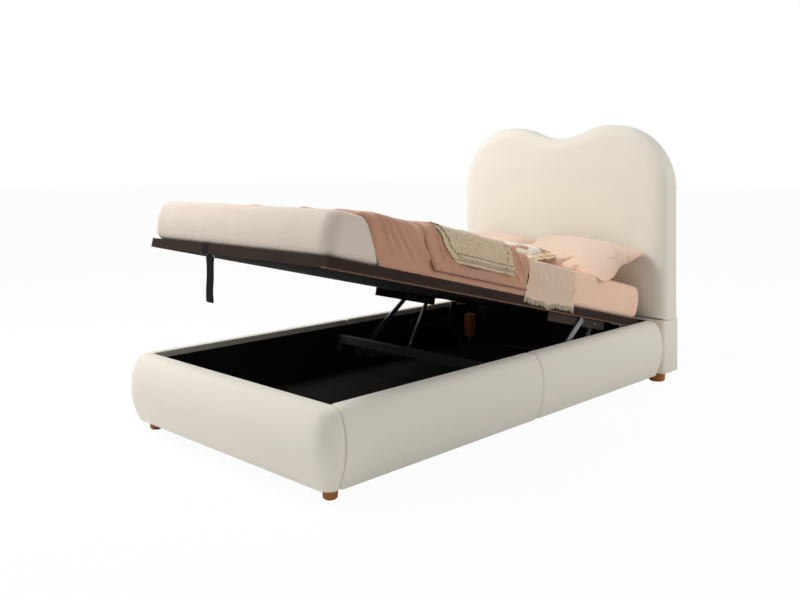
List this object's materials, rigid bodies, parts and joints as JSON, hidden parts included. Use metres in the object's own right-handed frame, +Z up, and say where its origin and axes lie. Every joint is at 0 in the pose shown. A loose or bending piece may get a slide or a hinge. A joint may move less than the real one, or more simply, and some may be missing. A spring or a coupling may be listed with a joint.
{
  "type": "ottoman bed",
  "caption": "Upholstered storage bed whose slatted base and mattress lift at the foot on side arms and telescopic struts, with a double-domed headboard and soft bumper rails.",
  "frame": {"origin": "on the floor, under the middle of the bed's outline", "axes": "+Y from the foot rail to the headboard, +Z up, +X towards the side that the picture shows near"},
  "size_m": [1.168, 2.16, 1.192],
  "materials": {
    "cover_fabric": "plain weave, matt",
    "lined_board": "board covered with matt black lining",
    "pale_timber": "planed pine, unfinished",
    "stained_timber": "stained hardwood, satin",
    "glide_plastic": "moulded",
    "black_steel": "black powder coat",
    "zinc_steel": "zinc plated",
    "bright_steel": "ground and plated",
    "dark_board": "board wrapped in dark brown cloth",
    "black_cloth": "thin non-woven lining",
    "webbing": "woven webbing",
    "mattress_cloth": "cotton, off-white",
    "peach_cotton": "cotton, pale peach",
    "pink_cotton": "washed cotton, dusty pink",
    "beige_knit": "chunky knit",
    "pale_weave": "open thin weave with a fringed hem",
    "cushion_cloth": "cotton with tan patches"
  },
  "bodies": {
    "base": {"side_cover_near_foot": "cover_fabric", "side_cover_near_head": "cover_fabric", "side_cover_far_foot": "cover_fabric", "side_cover_far_head": "cover_fabric", "side_rail_boards": "lined_board", "foot_cover": "cover_fabric", "foot_board": "lined_board", "headboard_panel": "cover_fabric", "headboard_base": "cover_fabric", "headboard_stays": "pale_timber", "front_leg_near": "stained_timber", "front_leg_far": "stained_timber", "rear_leg_near": "stained_timber", "rear_leg_far": "stained_timber", "leg_glides": "glide_plastic", "floor_panel_foot": "lined_board", "floor_panel_head": "lined_board", "floor_battens": "pale_timber", "floor_joists": "pale_timber", "cross_beam": "lined_board", "beam_brackets": "black_steel", "corner_blocks": "stained_timber", "head_posts": "stained_timber", "post_bolts": "zinc_steel", "lift_plate_near": "black_steel", "lift_plate_far": "black_steel", "guide_plate_near": "black_steel", "guide_plate_far": "black_steel", "plate_bolts": "zinc_steel", "base_studs": "zinc_steel"},
    "arm_near": {"lift_arm_near": "zinc_steel"},
    "arm_far": {"lift_arm_far": "zinc_steel"},
    "platform": {"angle_bars": "black_steel", "pivot_pins": "zinc_steel", "guide_lugs": "zinc_steel", "platform_side_boards": "dark_board", "platform_edge_strips": "pale_timber", "platform_foot_board": "dark_board", "platform_head_board": "dark_board", "slat_ledges": "pale_timber", "platform_spine": "pale_timber", "slats": "pale_timber", "under_cloth": "black_cloth", "strap_hanger": "zinc_steel", "mattress": "mattress_cloth", "fitted_sheet": "peach_cotton", "duvet": "pink_cotton", "duvet_fold": "pink_cotton", "knit_throw": "beige_knit", "thin_blanket": "pale_weave", "pillow_near": "peach_cotton", "pillow_far": "peach_cotton", "cushion": "cushion_cloth"},
    "rod_near": {"strut_rod_near": "bright_steel"},
    "rod_far": {"strut_rod_far": "bright_steel"},
    "tube_near": {"strut_tube_near": "black_steel"},
    "tube_far": {"strut_tube_far": "black_steel"},
    "strap": {"pull_strap": "webbing"}
  },
  "joints": [
    {"name": "lift", "type": "hinge", "parent": "base", "child": "arm_near", "pos_m": [0.496, 0.082, 0.136], "axis": [1, 0, 0], "range_deg": [-23.85, 37.17]},
    {"name": "arm_far_pivot", "type": "hinge", "parent": "base", "child": "arm_far", "pos_m": [-0.496, 0.082, 0.136], "axis": [1, 0, 0], "range_deg": [-23.86, 37.18]},
    {"name": "platform_pivot", "type": "hinge", "parent": "arm_near", "child": "platform", "pos_m": [0.49, 0.38805, 0.3527], "axis": [1, 0, 0], "range_deg": [-57.28, 36.76]},
    {"name": "rod_near_pivot", "type": "hinge", "parent": "base", "child": "rod_near", "pos_m": [0.47, 0.351, 0.0725], "axis": [1, 0, 0], "range_deg": [-26.14, 40.73]},
    {"name": "rod_far_pivot", "type": "hinge", "parent": "base", "child": "rod_far", "pos_m": [-0.47, 0.351, 0.0725], "axis": [1, 0, 0], "range_deg": [-26.14, 40.73]},
    {"name": "tube_near_pivot", "type": "hinge", "parent": "platform", "child": "tube_near", "pos_m": [0.47, 0.51065, 0.32359], "axis": [1, 0, 0], "range_deg": [-39.03, 60.83]},
    {"name": "tube_far_pivot", "type": "hinge", "parent": "platform", "child": "tube_far", "pos_m": [-0.47, 0.51065, 0.32359], "axis": [1, 0, 0], "range_deg": [-39.03, 60.83]},
    {"name": "strap_pivot", "type": "hinge", "parent": "platform", "child": "strap", "pos_m": [-0.125, -0.9992, 0.67863], "axis": [1, 0, 0], "range_deg": [-12.91, 20.11]}
  ],
  "couplings": [
    {"joint": "arm_far_pivot", "follows": "lift", "ratio": 1},
    {"joint": "platform_pivot", "follows": "lift", "ratio": -1.5407},
    {"joint": "rod_near_pivot", "follows": "lift", "ratio": 1.0955},
    {"joint": "rod_far_pivot", "follows": "lift", "ratio": 1.0955},
    {"joint": "tube_near_pivot", "follows": "lift", "ratio": 1.6362},
    {"joint": "tube_far_pivot", "follows": "lift", "ratio": 1.6362},
    {"joint": "strap_pivot", "follows": "lift", "ratio": 0.5407}
  ]
}
